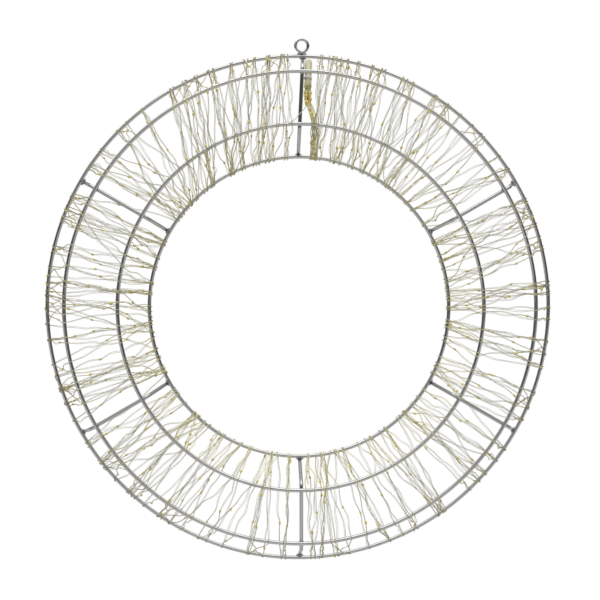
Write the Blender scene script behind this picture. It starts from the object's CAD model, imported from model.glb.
import math
import random

import bmesh
import bpy
from mathutils import Matrix, Vector


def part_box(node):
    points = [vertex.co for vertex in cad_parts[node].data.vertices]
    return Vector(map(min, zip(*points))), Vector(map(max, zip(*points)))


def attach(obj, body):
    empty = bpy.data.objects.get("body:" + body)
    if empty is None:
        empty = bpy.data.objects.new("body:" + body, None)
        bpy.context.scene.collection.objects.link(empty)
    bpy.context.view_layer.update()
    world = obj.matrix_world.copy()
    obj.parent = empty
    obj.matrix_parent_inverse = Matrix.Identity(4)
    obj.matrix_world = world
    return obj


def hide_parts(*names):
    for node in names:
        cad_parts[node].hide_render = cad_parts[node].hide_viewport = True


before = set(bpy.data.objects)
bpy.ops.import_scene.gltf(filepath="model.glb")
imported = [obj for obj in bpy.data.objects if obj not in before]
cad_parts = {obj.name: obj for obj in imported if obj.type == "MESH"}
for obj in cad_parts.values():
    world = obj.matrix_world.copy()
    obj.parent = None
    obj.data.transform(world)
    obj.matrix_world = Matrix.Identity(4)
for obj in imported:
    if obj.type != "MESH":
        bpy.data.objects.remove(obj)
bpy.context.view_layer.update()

# ---- studio ----
# The wreath hangs over a pale floor, seen square on from a little to the left of its middle. Soft light comes
# from above and below, and the sides stay darker, so that plated wire shows its bands.

MM = 0.001
WHITE, BLACK = (1, 1, 1, 1), (0, 0, 0, 1)
CAMERA_PLACE = Vector((-0.0363, -1.0869, 0.0119))
CAMERA_AIM = Vector((0.0003, 0, 0.0068))
CAMERA_LENS = 65.8
FLOOR_DROP, FLOOR_RADIUS = 0.36, 6
FLOOR_TONE = (0.4, 0.4, 0.4, 1)
FLOOR_IN_METAL = 0.28
WALL_TONE = (0.5, 0.5, 0.5, 1)
# How light the studio is from straight below, 0, to straight above, 1: at the two ends and between them.
SKY_ENDS = ((0.0, (0.5, 0.5, 0.5)), (0.9, (1.15, 1.15, 1.13)))
SKY_BETWEEN = ((0.28, (0.12, 0.12, 0.12)), (0.62, (0.09, 0.09, 0.09)), (0.74, (0.55, 0.55, 0.55)))

scene = bpy.context.scene
scene.view_settings.view_transform = "Standard"

ring_low, ring_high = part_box("outer_back_ring")
middle = (ring_low + ring_high) / 2

camera = bpy.data.objects.new("camera", bpy.data.cameras.new("camera"))
scene.collection.objects.link(camera)
camera.data.sensor_width = 36
camera.data.lens = CAMERA_LENS
camera.location = middle + CAMERA_PLACE
sight = middle + CAMERA_AIM - camera.location
camera.rotation_euler = sight.to_track_quat("-Z", "Y").to_euler()
scene.camera = camera


def new_material(name):
    """A material with its node tree and its Principled shader."""
    material = bpy.data.materials.new(name)
    material.use_nodes = True
    tree = material.node_tree
    return material, tree, tree.nodes["Principled BSDF"]


def node(tree, kind, **values):
    """A shader node, with its named inputs and settings set."""
    made = tree.nodes.new(kind)
    for key, value in values.items():
        if key in made.inputs:
            made.inputs[key].default_value = value
        else:
            setattr(made, key, value)
    return made


def plug(tree, sockets, values):
    """Sets each socket to a number or colour, or links it to another node's socket."""
    for socket, value in zip(sockets, values):
        if isinstance(value, bpy.types.NodeSocket):
            tree.links.new(value, socket)
        else:
            socket.default_value = value


def maths(tree, operation, *values):
    """A value worked out by a node from numbers or sockets."""
    made = node(tree, "ShaderNodeMath", operation=operation)
    plug(tree, made.inputs, values)
    return made.outputs[0]


def mixed(tree, factor, first, second, **settings):
    """A mix of two colours or colour sockets."""
    made = node(tree, "ShaderNodeMix", data_type="RGBA", **settings)
    plug(tree, (made.inputs[0], made.inputs[6], made.inputs[7]), (factor, first, second))
    return made.outputs[2]


def ranged(tree, value, start=0.0, end=1.0, low=0.0, high=1.0):
    """A value that goes from low to high while another goes from start to end."""
    made = tree.nodes.new("ShaderNodeMapRange")
    plug(tree, made.inputs, (value, start, end, low, high))
    return made.outputs[0]


def toned(tree, value, first, last, *between):
    """A colour for every value, from stops that each have a position and a colour."""
    made = tree.nodes.new("ShaderNodeValToRGB")
    stops = made.color_ramp.elements
    for stop, (position, colour) in zip(stops, (first, last)):
        stop.position = position
        stop.color = (*colour, 1)
    for position, colour in between:
        stops.new(position).color = (*colour, 1)
    tree.links.new(value, made.inputs[0])
    return made.outputs[0]


def softbox(name, place, width, depth, power):
    """A rectangular lamp that faces the wreath."""
    lamp = bpy.data.objects.new(name, bpy.data.lights.new(name, "AREA"))
    lamp.data.shape = "RECTANGLE"
    lamp.data.size = width
    lamp.data.size_y = depth
    lamp.data.energy = power
    lamp.location = middle + Vector(place)
    lamp.rotation_euler = (middle - lamp.location).to_track_quat("-Z", "Y").to_euler()
    scene.collection.objects.link(lamp)


softbox("top_light", (0.0, -0.35, 1.3), 1.6, 1.2, 6)
softbox("front_light", (-0.5, -1.6, 0.5), 1.2, 1.2, 7)
bpy.data.objects["front_light"].visible_glossy = False

floor_bm = bmesh.new()
bmesh.ops.create_circle(floor_bm, cap_ends=True, radius=FLOOR_RADIUS, segments=64)
bmesh.ops.translate(floor_bm, verts=floor_bm.verts, vec=middle - Vector((0, 0, FLOOR_DROP)))
floor_mesh = bpy.data.meshes.new("floor")
floor_bm.to_mesh(floor_mesh)
floor_bm.free()
floor = bpy.data.objects.new("floor", floor_mesh)
scene.collection.objects.link(floor)
floor_material, floor_tree, floor_shader = new_material("pale_floor")
floor_shader.inputs["Roughness"].default_value = 0.9
floor_shader.inputs["Specular IOR Level"].default_value = 0
floor_shader.inputs["Emission Color"].default_value = WHITE
floor_seen = floor_tree.nodes.new("ShaderNodeLightPath")
floor_in_view = floor_seen.outputs["Is Camera Ray"]
floor_in_metal = floor_seen.outputs["Is Glossy Ray"]
floor_glow = maths(floor_tree, "MULTIPLY_ADD", floor_in_metal, FLOOR_IN_METAL, floor_in_view)
floor_tone = mixed(floor_tree, floor_in_view, FLOOR_TONE, BLACK)
floor_tree.links.new(floor_glow, floor_shader.inputs["Emission Strength"])
floor_tree.links.new(floor_tone, floor_shader.inputs["Base Color"])
floor.data.materials.append(floor_material)

world = bpy.data.worlds.new("studio")
world.use_nodes = True
scene.world = world
sky = world.node_tree
sky.nodes.clear()
direction = sky.nodes.new("ShaderNodeTexCoord")
split = sky.nodes.new("ShaderNodeSeparateXYZ")
sky.links.new(direction.outputs["Generated"], split.inputs[0])
bands = toned(sky, ranged(sky, split.outputs["Z"], start=-1.0), *SKY_ENDS, *SKY_BETWEEN)
wall = mixed(sky, ranged(sky, split.outputs["Y"], start=0.55, end=0.9), bands, WALL_TONE)
seen = sky.nodes.new("ShaderNodeLightPath")
background = mixed(sky, seen.outputs["Is Camera Ray"], wall, WHITE)
glow = sky.nodes.new("ShaderNodeBackground")
sky.links.new(background, glow.inputs["Color"])
output = sky.nodes.new("ShaderNodeOutputWorld")
sky.links.new(glow.outputs[0], output.inputs[0])

# ---- rings ----
# Four hoops of bright zinc-plated steel rod, each bent on rollers and butt welded. The two middle ones stand
# forward of the outermost and the innermost.

RINGS = ("outer_back_ring", "outer_front_ring", "inner_front_ring", "inner_back_ring")
WIRE = ring_high.y - ring_low.y
HOOP_STEPS = 288
WIRE_SIDES = 14
OUT_OF_ROUND = 0.25 * MM
ZINC = (0.66, 0.66, 0.655, 1)
ZINC_DULL = (0.46, 0.46, 0.455, 1)
DRAWN_OUT = 0.04

ring_radius = {}
ring_depth = {}
for ring in RINGS:
    low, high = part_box(ring)
    ring_radius[ring] = (high.x - low.x - WIRE) / 2
    ring_depth[ring] = (low.y + high.y) / 2


def fitted(name, data, material, *nodes):
    """A piece of the object from its mesh or curve, riding on the frame in place of CAD nodes."""
    data.materials.append(material)
    piece = bpy.data.objects.new(name, data)
    scene.collection.objects.link(piece)
    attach(piece, "root")
    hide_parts(*nodes)
    return piece


def finished(name, bm, material, *nodes):
    """A mesh piece, smooth, with its faces turned outwards."""
    bmesh.ops.recalc_face_normals(bm, faces=bm.faces)
    mesh = bpy.data.meshes.new(name)
    bm.to_mesh(mesh)
    bm.free()
    mesh.shade_smooth()
    return fitted(name, mesh, material, *nodes)


def group_socket(group, name, way, kind):
    return group.interface.new_socket(name=name, in_out=way, socket_type=kind)


def raised(tree, height, strength, distance):
    """A normal that follows a height."""
    made = node(tree, "ShaderNodeBump", Strength=strength, Distance=distance)
    tree.links.new(height, made.inputs["Height"])
    return made.outputs[0]


def surface(tree, shader, tone, rough=None, normal=None):
    """Links what varies over a surface to its shader."""
    for socket, value in (("Base Color", tone), ("Roughness", rough), ("Normal", normal)):
        if value is not None:
            tree.links.new(value, shader.inputs[socket])


def drawn_plating():
    """Zinc plating on drawn wire: cloudy tone, scratches along the wire and fine pits."""
    group = bpy.data.node_groups.new("drawn_plating", "ShaderNodeTree")
    group_socket(group, "Along", "INPUT", "NodeSocketVector")
    group_socket(group, "Light", "INPUT", "NodeSocketColor")
    group_socket(group, "Dull", "INPUT", "NodeSocketColor")
    group_socket(group, "Color", "OUTPUT", "NodeSocketColor")
    group_socket(group, "Roughness", "OUTPUT", "NodeSocketFloat")
    group_socket(group, "Normal", "OUTPUT", "NodeSocketVector")
    entry = group.nodes.new("NodeGroupInput")
    leave = group.nodes.new("NodeGroupOutput")
    cloud = node(group, "ShaderNodeTexNoise", Scale=0.35, Detail=4.0, Roughness=0.6)
    scratch = node(group, "ShaderNodeTexNoise", Scale=5.0, Detail=3.0)
    for noise in (cloud, scratch):
        group.links.new(entry.outputs["Along"], noise.inputs["Vector"])
    tone = mixed(group, cloud.outputs["Fac"], entry.outputs["Dull"], entry.outputs["Light"])
    rough = ranged(group, scratch.outputs["Fac"], start=0.3, end=0.75, low=0.10, high=0.24)
    normal = raised(group, scratch.outputs["Fac"], strength=0.12, distance=0.2 * MM)
    plug(group, leave.inputs, (tone, rough, normal))
    return group


def wreath_lie():
    """Object coordinates turned to the wreath: along its rings, outward and deep, in millimetres."""
    group = bpy.data.node_groups.new("wreath_lie", "ShaderNodeTree")
    group_socket(group, "Round", "OUTPUT", "NodeSocketFloat")
    group_socket(group, "Outward", "OUTPUT", "NodeSocketFloat")
    group_socket(group, "Deep", "OUTPUT", "NodeSocketFloat")
    leave = group.nodes.new("NodeGroupOutput")
    place = group.nodes.new("ShaderNodeTexCoord")
    shift = node(group, "ShaderNodeMapping", Location=-middle / MM, Scale=(1 / MM, 1 / MM, 1 / MM))
    group.links.new(place.outputs["Object"], shift.inputs["Vector"])
    parts = group.nodes.new("ShaderNodeSeparateXYZ")
    group.links.new(shift.outputs[0], parts.inputs[0])
    angle = maths(group, "ARCTAN2", parts.outputs["Z"], parts.outputs["X"])
    arc = maths(group, "MULTIPLY", angle, ring_radius["inner_front_ring"] / MM)
    flat = group.nodes.new("ShaderNodeCombineXYZ")
    group.links.new(parts.outputs["X"], flat.inputs["X"])
    group.links.new(parts.outputs["Z"], flat.inputs["Z"])
    reach = node(group, "ShaderNodeVectorMath", operation="LENGTH")
    group.links.new(flat.outputs[0], reach.inputs[0])
    plug(group, leave.inputs, (arc, reach.outputs["Value"], parts.outputs["Y"]))
    return group


plating = drawn_plating()
lie = wreath_lie()


def plated(name, along, light, dull):
    """Plated wire whose drawing lines run along one of the wreath's directions."""
    material, tree, shader = new_material(name)
    shader.inputs["Metallic"].default_value = 1.0
    place = node(tree, "ShaderNodeGroup", node_tree=lie)
    stretch = tree.nodes.new("ShaderNodeCombineXYZ")
    for way, axis in (("Round", "X"), ("Outward", "Y"), ("Deep", "Z")):
        squeeze = maths(tree, "MULTIPLY", place.outputs[way], DRAWN_OUT if way == along else 1.0)
        tree.links.new(squeeze, stretch.inputs[axis])
    coat = node(tree, "ShaderNodeGroup", node_tree=plating)
    plug(tree, coat.inputs, (stretch.outputs[0], light, dull))
    surface(tree, shader, coat.outputs["Color"], coat.outputs["Roughness"], coat.outputs["Normal"])
    return material


ring_plating = plated("ring_plating", "Round", ZINC, ZINC_DULL)

for index, ring in enumerate(RINGS):
    bm = bmesh.new()
    bmesh.ops.create_circle(bm, radius=WIRE / 2, segments=WIRE_SIDES)
    bmesh.ops.translate(bm, verts=bm.verts, vec=(ring_radius[ring], 0, 0))
    bmesh.ops.spin(bm, geom=bm.verts[:] + bm.edges[:], cent=(0, 0, 0), axis=(0, 1, 0), angle=math.tau,
                   steps=HOOP_STEPS, use_merge=True)
    for vert in bm.verts:
        turn = math.atan2(vert.co.z, vert.co.x)
        outward = Vector((math.cos(turn), 0, math.sin(turn)))
        vert.co += outward * OUT_OF_ROUND * math.sin(3 * turn + index)
        vert.co.y += OUT_OF_ROUND * math.sin(2 * turn + 2 * index)
    bmesh.ops.translate(bm, verts=bm.verts, vec=(middle.x, ring_depth[ring], middle.z))
    finished(f"{ring}_hoop", bm, ring_plating, ring)

# ---- braces ----
# Six pieces of the same wire, each bent to an open trough. Its flat lies behind the two front rings, and its
# legs run back beside the outermost and innermost rings. The ends are sheared and left plain.

BRACE_COUNT = 6
BRACE_BEND = 6 * MM
BAR_OVERHANG = 2 * MM
LEG_END_BACK = 0.45 * WIRE
LEG_END_INSIDE = 0.93 * WIRE
TOP_BRACE_SIDE = -0.35 * MM
TOP_BRACE_LEAN = math.radians(2.7)
TOP_BRACE_TWIST = math.radians(1.4)
BAR_STEPS, BEND_STEPS, LEG_STEPS = 6, 8, 8
BRACE_SHEAR = 0.25 * MM
TOUCHING = 1e-6
BRACE_ZINC = (0.60, 0.60, 0.595, 1)
BRACE_ZINC_DULL = (0.42, 0.42, 0.415, 1)

bar_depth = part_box("brace_1")[0].y + WIRE / 2
bar_middle = (ring_radius["outer_front_ring"] + ring_radius["inner_front_ring"]) / 2


def brace_stand(number):
    """Turns a brace that is made along X, with its flat in front, to its place. The top one is askew."""
    askew = 1 if number == 0 else 0
    bar = Vector((bar_middle, bar_depth, 0))
    lean = Matrix.Rotation(askew * TOP_BRACE_LEAN - math.pi / 2, 4, "Y")
    twist = Matrix.Rotation(-askew * TOP_BRACE_TWIST, 4, "Z")
    upright = Matrix.Translation(middle + Vector((askew * TOP_BRACE_SIDE, bar_depth, bar_middle)))
    turn = Matrix.Translation(middle) @ Matrix.Rotation(math.tau / BRACE_COUNT * number, 4, "Y")
    return turn @ Matrix.Translation(-middle) @ upright @ twist @ lean @ Matrix.Translation(-bar)


def top_brace_side(radius, depth):
    """How far the top brace's wire is to the right of the wreath's middle."""
    lean = (radius - bar_middle) * math.tan(TOP_BRACE_LEAN)
    return TOP_BRACE_SIDE + lean + (depth - bar_depth) * math.tan(TOP_BRACE_TWIST)


def of_kind(items, kind):
    return [item for item in items if isinstance(item, kind)]


def wire_section(bm, radius, sides, place, facing):
    """The round section that a wire is drawn from, facing along the wire."""
    turn = Vector(facing).to_track_quat("Z", "Y").to_matrix().to_4x4()
    stand = Matrix.Translation(place) @ turn
    verts = bmesh.ops.create_circle(bm, radius=radius, segments=sides, matrix=stand)["verts"]
    return verts, list({edge for vert in verts for edge in vert.link_edges})


def run_wire(bm, section, vector, steps):
    """Draws the wire straight on."""
    verts, edges = section
    for _ in range(steps):
        made = bmesh.ops.extrude_edge_only(bm, edges=edges)["geom"]
        verts = of_kind(made, bmesh.types.BMVert)
        edges = [edge for edge in of_kind(made, bmesh.types.BMEdge) if set(edge.verts) <= set(verts)]
        bmesh.ops.translate(bm, verts=verts, vec=Vector(vector) / steps)
    return verts, edges


def bend_wire(bm, section, centre, axis, angle, steps, drift=(0, 0, 0)):
    """Bends the wire round a pin."""
    verts, edges = section
    made = bmesh.ops.spin(bm, geom=verts + edges, cent=centre, axis=axis, angle=angle, steps=steps,
                          dvec=Vector(drift) / steps)["geom_last"]
    return of_kind(made, bmesh.types.BMVert), of_kind(made, bmesh.types.BMEdge)


def shear_end(bm, section, chamfer):
    """Closes the wire with a flat sheared face and a small broken edge."""
    face = bmesh.ops.contextual_create(bm, geom=section[1])["faces"][0]
    bmesh.ops.bevel(bm, geom=list(face.edges), offset=chamfer, offset_type="OFFSET", segments=2,
                    profile=0.5, affect="EDGES", material=-1)


brace_plating = plated("brace_plating", "Outward", BRACE_ZINC, BRACE_ZINC_DULL)
bar_end = ring_radius["outer_front_ring"] + BAR_OVERHANG
leg_end = Vector((ring_radius["outer_back_ring"] - LEG_END_INSIDE, LEG_END_BACK, 0))
bend_centre = Vector((bar_end, bar_depth + BRACE_BEND, 0))
leg_reach = leg_end - bend_centre
touch_angle = math.atan2(leg_reach.y, leg_reach.x) - math.acos(BRACE_BEND / leg_reach.length)
leg_start = bend_centre + Vector((math.cos(touch_angle), math.sin(touch_angle), 0)) * BRACE_BEND
leg = leg_end - leg_start

# Half a brace is drawn outwards from the middle of its flat, and then mirrored.
for number in range(BRACE_COUNT):
    bm = bmesh.new()
    section = wire_section(bm, WIRE / 2, WIRE_SIDES, (bar_middle, bar_depth, 0), (1, 0, 0))
    section = run_wire(bm, section, (bar_end - bar_middle, 0, 0), BAR_STEPS)
    section = bend_wire(bm, section, bend_centre, (0, 0, 1), math.atan2(leg.y, leg.x), BEND_STEPS)
    section = run_wire(bm, section, leg, LEG_STEPS)
    shear_end(bm, section, BRACE_SHEAR)
    bmesh.ops.mirror(bm, geom=bm.verts[:] + bm.edges[:] + bm.faces[:], axis="X", merge_dist=TOUCHING,
                     matrix=Matrix.Translation((-bar_middle, 0, 0)))
    bmesh.ops.remove_doubles(bm, verts=bm.verts, dist=TOUCHING)
    bmesh.ops.transform(bm, matrix=brace_stand(number), verts=bm.verts)
    finished(f"brace_{number + 1}_wire", bm, brace_plating, f"brace_{number + 1}")

# ---- hanging eye ----
# One turn of thinner plated wire, bent round a rod. Its two tails pass each other and are welded on top of
# the outermost ring, at the top brace.

EYE_WIRE = 2.9 * MM
EYE_RADIUS = 6.2 * MM
EYE_HALF_OPEN = math.radians(30)
EYE_STEPS, TAIL_STEPS = 44, 3
EYE_SHEAR = 0.2 * MM
TAIL = Vector((-0.14 * EYE_RADIUS, 0.52 * EYE_WIRE, -1.23 * EYE_RADIUS))

bm = bmesh.new()
tail_end = Vector((EYE_RADIUS * math.sin(EYE_HALF_OPEN), TAIL.y, -EYE_RADIUS * math.cos(EYE_HALF_OPEN)))
first_end = wire_section(bm, EYE_WIRE / 2, WIRE_SIDES, TAIL, tail_end - TAIL)
section = run_wire(bm, first_end, tail_end - TAIL, TAIL_STEPS)
section = bend_wire(bm, section, (0, 0, 0), (0, -1, 0), math.tau - 2 * EYE_HALF_OPEN, EYE_STEPS,
                    drift=(0, -2 * TAIL.y, 0))
section = run_wire(bm, section, (tail_end.x - TAIL.x, 0, TAIL.z - tail_end.z), TAIL_STEPS)
shear_end(bm, section, EYE_SHEAR)
shear_end(bm, first_end, EYE_SHEAR)
eye_plating = plated("eye_plating", "Deep", ZINC, ZINC_DULL)
finished("hanging_eye_wire", bm, eye_plating, "hanging_eye")

# ---- welds ----
# Every crossing is spot welded before the frame is plated. The wires sink together, and a small rough lump of
# melted steel stands out on each side.

LUMP_RADIUS = 1.7 * MM
LUMP_OFFSET = 1.85 * MM
LUMP_ROUGHNESS = 0.16
LUMP_LEAST, LUMP_MORE = 0.85, 0.3
EYE_LUMP_RADIUS = 1.9 * MM
EYE_LUMP_SQUASH = (1.2, 1.1, 0.8)
EYE_LUMP_SIDE, EYE_LUMP_UP = 2.3 * MM, -8.4 * MM
WELD_DARK, WELD_BRIGHT = (0.20, 0.20, 0.21, 1), (0.62, 0.63, 0.64, 1)


def grain(tree, scale, detail):
    """A cloudy value that lies through the piece."""
    place = tree.nodes.new("ShaderNodeTexCoord")
    made = node(tree, "ShaderNodeTexNoise", Scale=scale, Detail=detail)
    tree.links.new(place.outputs["Object"], made.inputs["Vector"])
    return made.outputs["Fac"]


weld_plating, weld_tree, weld_shader = new_material("weld_plating")
weld_shader.inputs["Metallic"].default_value = 1.0
weld_grain = grain(weld_tree, 1400.0, 3.0)
weld_tone = mixed(weld_tree, weld_grain, WELD_DARK, WELD_BRIGHT)
weld_rough = ranged(weld_tree, weld_grain, low=0.18, high=0.5)
weld_normal = raised(weld_tree, weld_grain, strength=0.4, distance=0.2 * MM)
surface(weld_tree, weld_shader, weld_tone, weld_rough, weld_normal)


def on_wreath(radius, depth, degrees):
    """A point of the wreath at an angle clockwise from its top, seen from the front."""
    turn = math.radians(degrees)
    return middle + Vector((radius * math.sin(turn), depth, radius * math.cos(turn)))


def add_lump(bm, place, radius, squash, chance):
    """A rough drop of melted wire."""
    made = bmesh.ops.create_icosphere(bm, subdivisions=2, radius=radius)["verts"]
    bmesh.ops.scale(bm, verts=made, vec=squash)
    for vert in made:
        vert.co *= 1 + LUMP_ROUGHNESS * (chance.random() - 0.5)
    bmesh.ops.translate(bm, verts=made, vec=place)


def crossing(ring):
    """Where a brace touches a ring, as radius and depth."""
    if ring.endswith("front_ring"):
        return ring_radius[ring], (ring_depth[ring] + bar_depth) / 2
    along = leg.normalized()
    centre = Vector((ring_radius["outer_back_ring"], 0, 0))
    foot = leg_start + along * (centre - leg_start).dot(along)
    contact = (centre + foot) / 2
    if ring.startswith("outer"):
        return contact.x, contact.y
    return 2 * bar_middle - contact.x, contact.y


for index, ring in enumerate(RINGS):
    chance = random.Random(index)
    bm = bmesh.new()
    radius, depth = crossing(ring)
    for number in range(BRACE_COUNT):
        angle = 360 / BRACE_COUNT * number
        if number == 0:
            angle = math.degrees(math.asin(top_brace_side(radius, depth) / radius))
        for side in (-1, 1):
            turn = angle + side * math.degrees(LUMP_OFFSET / radius)
            squash = [LUMP_LEAST + LUMP_MORE * chance.random() for _ in range(3)]
            add_lump(bm, on_wreath(radius, depth, turn), LUMP_RADIUS, squash, chance)
    node_name = ring.replace("_ring", "_welds")
    finished(f"{node_name}_lumps", bm, weld_plating, node_name)

bm = bmesh.new()
chance = random.Random(11)
for side in (-1, 1):
    place = Vector((side * EYE_LUMP_SIDE, 0, EYE_LUMP_UP))
    add_lump(bm, place, EYE_LUMP_RADIUS, EYE_LUMP_SQUASH, chance)
finished("eye_weld_lumps", bm, weld_plating, "eye_welds")

# ---- strands ----
# Two strings of lights leave the splice and are wound tight round the four rings in bunches, one string over
# each half. A string is a pair of enamelled copper wires, which wander and open a little between the rings.

STRAND = 0.8 * MM
STRAND_GAP = 0.2 * MM
HUG = (WIRE + STRAND) / 2 + STRAND_GAP
ONE_WIRE = 0.42 * MM
LIGHT_PITCH = 115 * MM
LIGHT_LENGTH = 3.6 * MM
LIGHT_CLEAR = LIGHT_LENGTH / 2 + 1 * MM
LIGHT_SLACK = 0.6
LENGTHS_A_SIDE = 10
LOOSE_END = 0.3
SEED = 7
# How a strand waves between two rings. Shares of the wave go in and out, or are left at a light, which leans
# along the rings and in or out by a slope.
WAVE = 3.0 * MM
WAVE_PITCH = 12 * MM
WAVE_SLACK = 0.5
WAVE_DEEP = 0.6
LIGHT_WAVE = 0.6
LIGHT_ASKEW, LIGHT_DIP = 0.25, 0.15
WIRES_OPEN = 1.0 * MM
WIRES_SHUT = 0.44 * MM
# How far each corner of a turn is from its outer angle to its inner one, from the outermost ring forward.
SHARES = (0, 0.15, 0.5, 1)
A_TURN = len(SHARES)
# Between the turns of a bunch, in degrees: the narrowest gap it is given, and the least that is left.
OUTER_GAP, INNER_GAP = 0.32, 0.42
OUTER_LEAST, INNER_LEAST = 0.28, 0.46

# Each sixth of the wreath: how many turns it has, and the angles of its bunches on the outermost and on the
# innermost ring.
CLOCKWISE = [
    (36, [5, 8, 11, 14, 17, 19.5, 24.5, 27, 33, 36.5, 40, 43, 47, 53, 56.5],
     [4, 6, 8, 12.5, 14.5, 20, 24.5, 29, 32.5, 36.5, 41, 44.5, 49.5, 56.5]),
    (31, [4.5, 8, 11, 14, 16.5, 24.5, 27, 30, 33, 38, 41, 44, 50, 54, 57],
     [4, 6, 10, 12.5, 15, 20, 23.5, 26.5, 31, 35, 38, 42, 49.5, 53, 56.5]),
    (27, [4.5, 8, 12, 14, 17, 24.5, 26.5, 32.5, 35.5, 39, 43.5, 48.5, 51.5, 55, 57],
     [4, 7.5, 11, 15, 17.5, 25, 27.5, 32, 34, 37, 43, 47, 51, 54, 56.5]),
]
ANTICLOCKWISE = [
    (38, [3.5, 7, 10, 12.5, 15.5, 20.5, 24, 27, 30.5, 38.5, 43, 46, 52, 56],
     [5.5, 11.5, 13.5, 17, 23, 27, 28.5, 36, 40.5, 46, 49, 52.5, 55]),
    (34, [4, 7, 9.5, 16, 18, 21, 24, 27, 30.5, 34, 37.5, 43, 46, 49, 52.5, 56.5],
     [4.5, 12, 15, 20, 21.5, 25, 29, 33, 35.5, 40, 46, 49.5, 54, 56]),
    (28, [3, 7.5, 9, 13, 17, 19, 22, 26, 29, 31.5, 36, 38, 42, 47.5, 51.5, 56.5],
     [4, 7, 10, 15.5, 18, 20, 23, 28, 30, 34, 37.5, 41.5, 49, 51, 56]),
]
# For each ring, from the outermost: what share of the turns changes over with a near one, and how far each
# one strays, in millimetres.
CROSSINGS = [(0.3, 1.0), (0.5, 2.4), (0.3, 5.0), (0.45, 1.4)]
STRAY_LIMIT = 2
FURTHEST_CHANGE = math.radians(4.5)
CHANGE_REACH = 3
TURNS_IN_ORDER = 3

# Where each string leaves the splice: across, deep and above the wreath's middle.
STARTS = {
    "right": [(7.2, -47.9, 193.6), (8.2, -52.2, 189)],
    "left": [(4.9, -48.5, 193.6), (3.8, -52.2, 188)],
}
FIRST_BEND = 4 * HUG

# Dark and pale tones of the silvery wire in the middle, and of the yellower wire where the turns lie packed.
SILVERY = (0.40, 0.39, 0.24), (0.68, 0.67, 0.52)
YELLOWER = (0.46, 0.41, 0.14), (0.74, 0.69, 0.36)
SHADED = (0.62, 0.60, 0.50, 1)
PACKED_FROM, PACKED_TO = 18, 30
SHADED_OVER = 8


def wound_enamel():
    """Clear enamel on silvered copper wire: cloudy, and yellower or shaded where its masks say."""
    group = bpy.data.node_groups.new("wound_enamel", "ShaderNodeTree")
    group_socket(group, "Packed", "INPUT", "NodeSocketFloat")
    group_socket(group, "Shaded", "INPUT", "NodeSocketFloat")
    group_socket(group, "Color", "OUTPUT", "NodeSocketColor")
    group_socket(group, "Roughness", "OUTPUT", "NodeSocketFloat")
    entry = group.nodes.new("NodeGroupInput")
    leave = group.nodes.new("NodeGroupOutput")
    cloud = grain(group, 45.0, 4.0)
    silvery, yellower = (toned(group, cloud, (0.3, dark), (0.7, pale)) for dark, pale in (SILVERY, YELLOWER))
    tone = mixed(group, entry.outputs["Packed"], silvery, yellower)
    shade = mixed(group, entry.outputs["Shaded"], tone, SHADED, blend_type="MULTIPLY")
    rough = ranged(group, cloud, low=0.3, high=0.55)
    plug(group, leave.inputs, (shade, rough))
    return group


enamel = wound_enamel()


def enamelled(name):
    """Enamelled wire, its node tree and the node with its masks."""
    material, tree, shader = new_material(name)
    shader.inputs["Coat Weight"].default_value = 0.4
    shader.inputs["Coat Roughness"].default_value = 0.2
    coat = node(tree, "ShaderNodeGroup", node_tree=enamel)
    surface(tree, shader, coat.outputs["Color"], coat.outputs["Roughness"])
    return material, tree, coat


strand_enamel, strand_tree, strand_coat = enamelled("strand_enamel")
strand_lie = node(strand_tree, "ShaderNodeGroup", node_tree=lie)
strand_outward = strand_lie.outputs["Outward"]
off_middle = maths(strand_tree, "SUBTRACT", strand_outward, bar_middle / MM)
off_middle = maths(strand_tree, "ABSOLUTE", off_middle)
packed = ranged(strand_tree, off_middle, start=PACKED_FROM, end=PACKED_TO)
outside = ring_radius["outer_front_ring"] / MM
shaded = ranged(strand_tree, strand_outward, start=outside, end=outside + SHADED_OVER)
plug(strand_tree, strand_coat.inputs, (packed, shaded))


def section_corners():
    """The winding's corners round the four rings, from the outermost ring forward, as radius and depth."""
    wires = [Vector((ring_radius[ring], ring_depth[ring] - middle.y)) for ring in RINGS]
    corners = []
    for index, wire in enumerate(wires):
        before = wire - wires[index - 1]
        after = wires[(index + 1) % A_TURN] - wire
        out_before = Vector((-before.y, before.x)).normalized()
        out_after = Vector((-after.y, after.x)).normalized()
        corners.append(wire + (out_before + out_after) * HUG / (1 + out_before.dot(out_after)))
    return corners


def spread(bunches, turns, chance, spacing, least):
    """An angle for every turn: at least one turn in each bunch, side by side, in order round the ring."""
    counts = [1] * len(bunches)
    for _ in range(turns - len(bunches)):
        counts[int(chance.random() * len(bunches))] += 1
    angles = []
    for bunch, count in zip(bunches, counts):
        gap = spacing * (1 + chance.random())
        angles += [bunch + gap * (k - (count - 1) / 2) for k in range(count)]
    angles.sort()
    for k in range(1, turns):
        angles[k] = max(angles[k], angles[k - 1] + least)
    return angles


def winding(stretches, side, chance):
    """The corner points of one side's winding. side is 1 for clockwise and -1 for the other way."""
    points = []
    for index, (turns, outer_bunches, inner_bunches) in enumerate(stretches):
        outer = spread(outer_bunches, turns, chance, OUTER_GAP, OUTER_LEAST)
        inner = spread(inner_bunches, turns, chance, INNER_GAP, INNER_LEAST)
        for start, end in zip(outer, inner):
            for share, (radius, depth) in zip(SHARES, section_corners()):
                degrees = 360 / BRACE_COUNT * index + start + (end - start) * share
                points.append(on_wreath(radius, depth, side * degrees))
    return points


def hoop_direction(place):
    """Along the rings at a place."""
    out = place - middle
    return Vector((out.z, 0, -out.x)).normalized()


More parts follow.
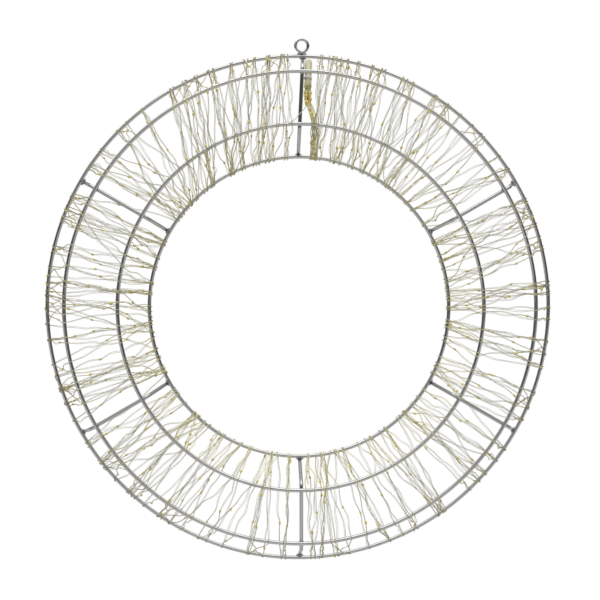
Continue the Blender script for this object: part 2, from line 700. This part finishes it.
def crossed(corners, waver):
    """The corners, with some turns changed over at a ring and all strayed along it, so that turns cross."""
    moved = list(corners)
    for ring, (changes, stray) in enumerate(CROSSINGS):
        turns = range(ring, len(moved), A_TURN)
        for number in range(TURNS_IN_ORDER, len(turns) - CHANGE_REACH):
            here, there = turns[number], turns[number + waver.randint(1, CHANGE_REACH)]
            near = (moved[here] - middle).angle(moved[there] - middle) < FURTHEST_CHANGE
            if waver.random() < changes and near:
                moved[here], moved[there] = moved[there], moved[here]
        for index in turns:
            reach = min(max(waver.gauss(0, 1), -STRAY_LIMIT), STRAY_LIMIT) * stray * MM
            moved[index] = moved[index] + hoop_direction(moved[index]) * reach
    return moved


def one_length(corners, first, last, side):
    """The points of one length of a string, from where the last one ends to where the next one starts."""
    start, end = A_TURN * first, A_TURN * last
    points = corners[start:end]
    if first:
        points.insert(0, (corners[start - 1] + corners[start]) / 2)
    else:
        points = [middle + Vector(place) * MM for place in STARTS[side]] + points[2:]
    if end < len(corners):
        points.append((corners[end - 1] + corners[end]) / 2)
    else:
        points.append(corners[-1].lerp(corners[-A_TURN], LOOSE_END))
    return points


def straight_runs(points, bends):
    """The straight runs between a route's rounded corners, and the route's length."""
    runs = []
    length = 0
    here = points[0]
    for before, corner, after, bend in zip(points, points[1:], points[2:], bends):
        back = (before - corner).normalized()
        onward = (after - corner).normalized()
        half = back.angle(onward) / 2
        leave = corner + back * bend / math.tan(half)
        runs.append((here, leave))
        length += (leave - here).length + bend * (math.pi - 2 * half)
        here = corner + onward * bend / math.tan(half)
    runs.append((here, points[-1]))
    return runs, length + (points[-1] - here).length


def light_places(runs, length, chance):
    """For each light, the run that it is on and how far along it."""
    spans = [(end - start).length for start, end in runs]
    count = round(length / LIGHT_PITCH)
    places = []
    for k in range(count):
        travel = sum(spans) / count * (k + (1 - LIGHT_SLACK) / 2 + LIGHT_SLACK * chance.random())
        run = 0
        while run < len(spans) - 1 and travel > spans[run]:
            travel -= spans[run]
            run += 1
        places.append((run, min(max(travel, LIGHT_CLEAR), spans[run] - LIGHT_CLEAR)))
    return places


def wander(start, end, lights, waver):
    """The way between two rings, waving, but straight through its lights: points with their wires' gap."""
    span = (end - start).length
    onward = (end - start).normalized()
    across = hoop_direction((start + end) / 2)
    deep = onward.cross(across)
    stops = sorted(min(travel, span - LIGHT_LENGTH) for travel in lights)
    marks = [0, *stops, span]
    points = []
    beads = []
    for here, there in zip(marks, marks[1:]):
        steps = round((there - here) / WAVE_PITCH)
        for k in range(1, steps):
            travel = here + (there - here) * (k + WAVE_SLACK * (waver.random() - 0.5)) / steps
            swing = WAVE * math.sin(math.pi * travel / span) ** 0.5
            sway = across * swing * waver.uniform(-1, 1) + deep * swing * waver.uniform(-WAVE_DEEP, WAVE_DEEP)
            gap = waver.uniform(WIRES_SHUT, 2 * WIRES_OPEN - WIRES_SHUT)
            points.append((start + onward * travel + sway, gap))
        if there < span:
            swing = LIGHT_WAVE * WAVE * math.sin(math.pi * there / span)
            place = start + onward * there + across * swing * waver.uniform(-1, 1)
            askew = across * waver.uniform(-LIGHT_ASKEW, LIGHT_ASKEW)
            tilt = (onward + askew + deep * waver.uniform(-LIGHT_DIP, LIGHT_DIP)).normalized()
            points += [(place + tilt * way * LIGHT_LENGTH / 2, WIRES_SHUT) for way in (-1, 1)]
            beads.append((place, tilt))
    return points, beads


def loose_route(points, bends, places, waver):
    """The whole way of one length with its wires' gaps, shut round each ring, and its lights."""
    runs = straight_runs(points, bends)[0]
    route = [(points[0], WIRES_SHUT)]
    beads = []
    for index, (start, end) in enumerate(runs):
        if index:
            route.append((2 * start - points[index], WIRES_SHUT))
        wave, run_beads = wander(start, end, [travel for run, travel in places if run == index], waver)
        route += wave
        beads += run_beads
        if index < len(runs) - 1:
            route += [(2 * end - points[index + 1], WIRES_SHUT), (points[index + 1], WIRES_SHUT)]
    return route + [(points[-1], WIRES_SHUT)], beads


def fine_wire(name, steps):
    """A curve that is drawn as fine round wire."""
    curve = bpy.data.curves.new(name, "CURVE")
    curve.dimensions = "3D"
    curve.bevel_depth = ONE_WIRE / 2
    curve.bevel_resolution = 1
    curve.resolution_u = steps
    curve.use_fill_caps = True
    return curve


def add_wire(curve, places):
    """One wire, led smoothly past its places."""
    spline = curve.splines.new("NURBS")
    spline.points.add(len(places) - 1)
    for point, place in zip(spline.points, places):
        point.co = (*place, 1)
    spline.order_u = 3
    spline.use_endpoint_u = True


def lay_strand(strand, route):
    """A pair of wires along a route."""
    curve = fine_wire(f"{strand}_wires", 3)
    for side in (-1, 1):
        add_wire(curve, [place + hoop_direction(place) * side * gap / 2 for place, gap in route])
    fitted(f"{strand}_wires", curve, strand_enamel, strand)


# The lights are placed on the even winding, and then ride on the loose one.
lights = {}
for side, stretches, turning in (("right", CLOCKWISE, 1), ("left", ANTICLOCKWISE, -1)):
    chance = random.Random(SEED * turning)
    waver = random.Random(f"{side} strand")
    corners = winding(stretches, turning, chance)
    loose_corners = crossed(corners, waver)
    turns = len(corners) // A_TURN
    first = 0
    for number in range(1, LENGTHS_A_SIDE + 1):
        last = round(turns * number / LENGTHS_A_SIDE)
        points = one_length(corners, first, last, side)
        bends = [HUG] * (len(points) - 2)
        if not first:
            bends[0] = FIRST_BEND
        places = light_places(*straight_runs(points, bends), chance)
        route, beads = loose_route(one_length(loose_corners, first, last, side), bends, places, waver)
        lay_strand(f"strand_{side}_{number:02d}", route)
        lights[f"lights_{side}_{number:02d}"] = beads
        first = last

# ---- splice ----
# The strings and their lead are soldered together and pushed into a soft clear sleeve with a closed round
# top. It leans back beside the top brace, and a white nylon tie is pulled tight round it below the joint.

SLEEVE_RADIUS = 3.7 * MM
SLEEVE_LENGTH = 32 * MM
SLEEVE_WALL = 0.5 * MM
SLEEVE_TILT = math.radians(-25)
SLEEVE_CLEAR = 0.4 * MM
SLEEVE_SIDES, SLEEVE_STEPS, SLEEVE_TOP_STEPS = 32, 24, 6
CREASES, CREASE_DEPTH, CREASE_TWIST = 3, 0.05, 500
MOUTH_UP, MOUTH_DEEP = 208.6 * MM, -48 * MM
TIE_UP, TIE_WIDTH, TIE_THICKNESS = 9 * MM, 2.2 * MM, 0.6 * MM
TIE_SLANT = math.radians(12)
TIE_SOFT = 0.25 * MM
TIE_HEAD = Vector((3.8, 2.4, 3.2)) * MM
TIE_HEAD_OUT = 1.1 * MM
TIE_HEAD_SOFT = 0.4 * MM
WAIST = 0.86
WAIST_REACH = 5 * MM
CORE_LENGTH = 20.5 * MM
CORE_WIRES, CORE_WIRE_SIDES = 6, 6
CORE_WIRE_RADIUS = 0.55 * MM
CORE_TURN_RADIUS = 1.75 * MM
CORE_START = -1 * MM
CORE_TWIST = math.radians(400)
CORE_STEPS = 30
CORE_TWISTED = 0.75
JOINT_RADIUS = 2.3 * MM
JOINT_STRETCH = 1.7
JOINT_UP = 0.68
JOINT_BARE_TO, JOINT_VARNISHED_FROM = 0.35, 0.5

bar_side = top_brace_side(MOUTH_UP, bar_depth)
mouth_side = bar_side + WIRE / 2 + SLEEVE_CLEAR + SLEEVE_RADIUS
mouth = middle + Vector((mouth_side, MOUTH_DEEP, MOUTH_UP))
sleeve_stand = Matrix.Translation(mouth) @ Matrix.Rotation(TOP_BRACE_LEAN, 4, "Y")
sleeve_stand = sleeve_stand @ Matrix.Rotation(SLEEVE_TILT, 4, "X")


def turned(bm, outline, sides):
    """Spins an outline of radius and height round Z."""
    verts = [bm.verts.new((radius, 0, up)) for radius, up in outline]
    edges = [bm.edges.new(pair) for pair in zip(verts, verts[1:])]
    bmesh.ops.spin(bm, geom=verts + edges, cent=(0, 0, 0), axis=(0, 0, 1), angle=math.tau, steps=sides,
                   use_merge=True)
    bmesh.ops.remove_doubles(bm, verts=bm.verts, dist=TOUCHING)


clear_sleeve, sleeve_tree, sleeve_shader = new_material("clear_sleeve")
sleeve_shader.inputs["Roughness"].default_value = 0.25
sleeve_shader.inputs["Coat Weight"].default_value = 0.3
sleeve_cloud = grain(sleeve_tree, 320.0, 3.0)
sleeve_tone = toned(sleeve_tree, sleeve_cloud, (0.0, (0.66, 0.60, 0.34)), (1.0, (0.91, 0.87, 0.60)))
sleeve_cover = ranged(sleeve_tree, sleeve_cloud, low=0.4, high=0.6)
sleeve_normal = raised(sleeve_tree, sleeve_cloud, strength=0.3, distance=0.3 * MM)
surface(sleeve_tree, sleeve_shader, sleeve_tone, normal=sleeve_normal)
sleeve_tree.links.new(sleeve_cover, sleeve_shader.inputs["Alpha"])

bm = bmesh.new()
straight = SLEEVE_LENGTH - SLEEVE_RADIUS
outline = [(SLEEVE_RADIUS, straight * step / SLEEVE_STEPS) for step in range(SLEEVE_STEPS)]
for step in range(SLEEVE_TOP_STEPS + 1):
    turn = math.pi / 2 * step / SLEEVE_TOP_STEPS
    outline.append((SLEEVE_RADIUS * math.cos(turn), straight + SLEEVE_RADIUS * math.sin(turn)))
turned(bm, outline, SLEEVE_SIDES)
bmesh.ops.recalc_face_normals(bm, faces=bm.faces)
bmesh.ops.solidify(bm, geom=bm.faces[:], thickness=SLEEVE_WALL)
for vert in bm.verts:
    turn = math.atan2(vert.co.y, vert.co.x)
    crease = CREASE_DEPTH * abs(math.sin(CREASES * turn + vert.co.z * CREASE_TWIST))
    from_tie = min(abs(vert.co.z - TIE_UP - TIE_WIDTH / 2) / WAIST_REACH, 1)
    narrow = (1 - crease) * (WAIST + (1 - WAIST) * from_tie ** 2)
    vert.co.x *= narrow
    vert.co.y *= narrow
bmesh.ops.transform(bm, matrix=sleeve_stand, verts=bm.verts)
finished("splice_sleeve_skin", bm, clear_sleeve, "splice_sleeve")

joint_varnish, joint_tree, joint_shader = new_material("joint_varnish")
joint_shader.inputs["Coat Weight"].default_value = 0.5
joint_cloud = grain(joint_tree, 260.0, 4.0)
joint_tone = toned(joint_tree, joint_cloud, (0.35, (0.20, 0.12, 0.03)), (0.65, (0.42, 0.35, 0.16)))
joint_place = joint_tree.nodes.new("ShaderNodeTexCoord")
joint_split = joint_tree.nodes.new("ShaderNodeSeparateXYZ")
joint_tree.links.new(joint_place.outputs["Object"], joint_split.inputs[0])
joint_varnished = ranged(joint_tree, joint_split.outputs["Z"], start=mouth.z + JOINT_BARE_TO * CORE_LENGTH,
                         end=mouth.z + JOINT_VARNISHED_FROM * CORE_LENGTH)
joint_mix = mixed(joint_tree, joint_varnished, (0.80, 0.68, 0.30, 1), joint_tone)
joint_rough = ranged(joint_tree, joint_cloud, low=0.25, high=0.6)
surface(joint_tree, joint_shader, joint_mix, joint_rough)

# Twisted bare wire ends, closed at both ends, with the varnished joint over their tops.
bm = bmesh.new()
for number in range(CORE_WIRES):
    turn = math.tau * number / CORE_WIRES
    place = Vector((CORE_TURN_RADIUS * math.cos(turn), CORE_TURN_RADIUS * math.sin(turn), CORE_START))
    start = wire_section(bm, CORE_WIRE_RADIUS, CORE_WIRE_SIDES, place, (0, 0, 1))
    end = bend_wire(bm, start, (0, 0, 0), (0, 0, 1), CORE_TWIST, CORE_STEPS,
                    drift=(0, 0, CORE_TWISTED * CORE_LENGTH))
    for section in (start, end):
        bmesh.ops.contextual_create(bm, geom=section[1])
joint = bmesh.ops.create_uvsphere(bm, u_segments=14, v_segments=10, radius=JOINT_RADIUS)["verts"]
bmesh.ops.scale(bm, verts=joint, vec=(1, 1, JOINT_STRETCH))
bmesh.ops.translate(bm, verts=joint, vec=(0, 0, JOINT_UP * CORE_LENGTH))
bmesh.ops.transform(bm, matrix=sleeve_stand, verts=bm.verts)
finished("splice_core_joint", bm, joint_varnish, "splice_core")

tie_nylon, tie_tree, tie_shader = new_material("tie_nylon")
tie_shader.inputs["Roughness"].default_value = 0.4
tie_shader.inputs["Subsurface Weight"].default_value = 0.2
tie_shader.inputs["Subsurface Scale"].default_value = 1 * MM
tie_cloud = grain(tie_tree, 500.0, 2.0)
tie_tone = toned(tie_tree, tie_cloud, (0.0, (0.84, 0.84, 0.82)), (1.0, (0.95, 0.95, 0.94)))
surface(tie_tree, tie_shader, tie_tone)

bm = bmesh.new()
inner = WAIST * SLEEVE_RADIUS
outer = inner + TIE_THICKNESS
outline = [(inner, 0), (outer - TIE_SOFT, 0), (outer, TIE_SOFT), (outer, TIE_WIDTH - TIE_SOFT)]
outline += [(outer - TIE_SOFT, TIE_WIDTH), (inner, TIE_WIDTH), (inner, 0)]
turned(bm, outline, SLEEVE_SIDES)
head = bmesh.ops.create_cube(bm, size=1)["verts"]
bmesh.ops.scale(bm, verts=head, vec=TIE_HEAD)
bmesh.ops.translate(bm, verts=head, vec=(0, outer + TIE_HEAD_OUT, TIE_WIDTH / 2))
head_edges = list({edge for vert in head for edge in vert.link_edges})
bmesh.ops.bevel(bm, geom=head_edges, offset=TIE_HEAD_SOFT, segments=2, profile=0.5, affect="EDGES",
                material=-1)
bmesh.ops.rotate(bm, verts=bm.verts, cent=(0, 0, TIE_WIDTH / 2), matrix=Matrix.Rotation(TIE_SLANT, 3, "Y"))
bmesh.ops.translate(bm, verts=bm.verts, vec=(0, 0, TIE_UP))
bmesh.ops.transform(bm, matrix=sleeve_stand, verts=bm.verts)
finished("sleeve_tie_band", bm, tie_nylon, "sleeve_tie")

# ---- knot ----
# Below the sleeve the spare ends of both strings are folded up and down a few times and pinched together, so
# that some forty lights lie in one bunch. The first runs fan out from it to the inner rings.

KNOT_UP, KNOT_DEEP = 199.6 * MM, -48.3 * MM
KNOT_SIZE = Vector((8.6, 6.4, 17)) * MM
KNOT_CLEAR = 0.3 * MM
KNOT_FOLDS = 18
KNOT_LIT, KNOT_UNLIT_OVER = 0.42, 0.6
# Where the folded wires leave the sleeve, in millimetres: how far to the side, how deep and how far up.
KNOT_NECK = ((2.6, 2.6, 4), (2.9, 2.6, 0))
# Where each fold is led past on its way down, as shares of the knot's half height and half width.
KNOT_HEIGHTS = (0.75, 0.45, 0.1, -0.25, -0.6, -0.88)
FOLD_REACH, FOLD_TURN = (0.5, 0.85), (-0.5, 0.7)
FAN_RUNS = 7
FAN_STEPS = 4
# The angle of the fan's first run on the two inner rings, and how much more the last one has.
FAN_OUTER, FAN_INNER = (3.3, 1.5), (4.0, 2.6)
FAN_START = Vector((0.5 * KNOT_SIZE.x, -1.5 * MM, -0.3 * KNOT_SIZE.z))
FAN_SWAY, FAN_SWAY_DEEP = 1.4, 0.8
FAN_SINK = 0.5 * MM
FAN_TUCK, FAN_END = 0.8 * HUG, 2 * HUG

knot_side = top_brace_side(KNOT_UP, bar_depth) + WIRE / 2 + KNOT_CLEAR + KNOT_SIZE.x / 2
knot = middle + Vector((knot_side, KNOT_DEEP, KNOT_UP))
chance = random.Random(21)
knot_lights = []
knot_routes = []
for fold in range(KNOT_FOLDS):
    turn = math.tau * fold / KNOT_FOLDS
    route = []
    for wide, deep, up in KNOT_NECK:
        route.append(mouth + Vector((wide * math.cos(turn), deep * math.sin(turn), up)) * MM)
    for share in KNOT_HEIGHTS:
        reach = math.sqrt(1 - share ** 4) * chance.uniform(*FOLD_REACH) / 2
        turn += chance.uniform(*FOLD_TURN)
        wide, deep = KNOT_SIZE.x * reach * math.cos(turn), KNOT_SIZE.y * reach * math.sin(turn)
        place = knot + Vector((wide, deep, KNOT_SIZE.z / 2 * share))
        route.append(place)
        if share < KNOT_UNLIT_OVER and chance.random() < KNOT_LIT:
            knot_lights.append((place, (route[-1] - route[-2]).normalized()))
    knot_routes.append(route)

front = ring_depth["inner_front_ring"] - middle.y - HUG
for number in range(FAN_RUNS):
    share = number / (FAN_RUNS - 1)
    outer_turn = FAN_OUTER[0] + FAN_OUTER[1] * share
    inner_turn = FAN_INNER[0] + FAN_INNER[1] * share
    start = knot + Vector((FAN_START.x * (share - 0.5), FAN_START.y, FAN_START.z))
    over = on_wreath(ring_radius["inner_front_ring"] - FAN_SINK, front, outer_turn)
    under = on_wreath(ring_radius["inner_back_ring"] - HUG, -HUG, inner_turn)
    behind = on_wreath(ring_radius["inner_back_ring"] - FAN_TUCK, HUG, inner_turn)
    end = on_wreath(ring_radius["inner_back_ring"] + FAN_END, HUG, inner_turn)
    route = [start]
    for here, there in ((start, over), (over, under)):
        for step in range(1, FAN_STEPS):
            wide, deep = chance.uniform(-FAN_SWAY, FAN_SWAY), chance.uniform(-FAN_SWAY_DEEP, 0)
            route.append(here.lerp(there, step / FAN_STEPS) + Vector((wide, deep, 0)) * MM)
        route.append(there)
        lit = len(route) - chance.randint(2, 3)
        place = route[lit - 1].lerp(route[lit], chance.random())
        knot_lights.append((place, (route[lit] - route[lit - 1]).normalized()))
    knot_routes.append(route + [behind, end])

knot_wires = fine_wire("strand_knot_wires", 4)
for route in knot_routes:
    for side in (-1, 1):
        add_wire(knot_wires, [place + Vector((side * WIRES_SHUT / 2, 0, 0)) for place in route])
knot_enamel, _, knot_coat = enamelled("knot_enamel")
knot_coat.inputs["Packed"].default_value = 1.0
fitted("strand_knot_wires", knot_wires, knot_enamel, "strand_knot")

# ---- lights ----
# A drop of clear resin is cast over both wires round each tiny light, and grips them by itself. The phosphor
# inside tints it amber.

DROP_RADIUS = 1.15 * MM
DROP_SIZES = (0.9, 1.15)
DROP_FLATTEST = 0.85

drop_resin, drop_tree, drop_shader = new_material("drop_resin")
drop_shader.inputs["Roughness"].default_value = 0.14
drop_shader.inputs["Transmission Weight"].default_value = 0.15
drop_shader.inputs["Coat Weight"].default_value = 0.5
drop_cloud = grain(drop_tree, 220.0, 2.0)
drop_tone = toned(drop_tree, drop_cloud, (0.35, (0.80, 0.58, 0.10)), (0.65, (0.94, 0.80, 0.24)))
surface(drop_tree, drop_shader, drop_tone)


def add_drop(bm, place, facing, chance):
    """One drop on its wires."""
    made = bmesh.ops.create_uvsphere(bm, u_segments=8, v_segments=6, radius=DROP_RADIUS)["verts"]
    size = chance.uniform(*DROP_SIZES)
    flat = chance.uniform(DROP_FLATTEST, 1)
    bmesh.ops.scale(bm, verts=made, vec=(size, size * flat, LIGHT_LENGTH / 2 / DROP_RADIUS))
    bmesh.ops.rotate(bm, verts=made, matrix=facing.to_track_quat("Z", "Y").to_matrix())
    bmesh.ops.translate(bm, verts=made, vec=place)


chance = random.Random(5)
for name, beads in lights.items():
    bm = bmesh.new()
    for place, facing in beads:
        add_drop(bm, place, facing, chance)
    finished(f"{name}_drops", bm, drop_resin, name)

bm = bmesh.new()
for place, facing in knot_lights:
    add_drop(bm, place, facing, chance)
finished("strand_knot_drops", bm, drop_resin, "strand_knot")
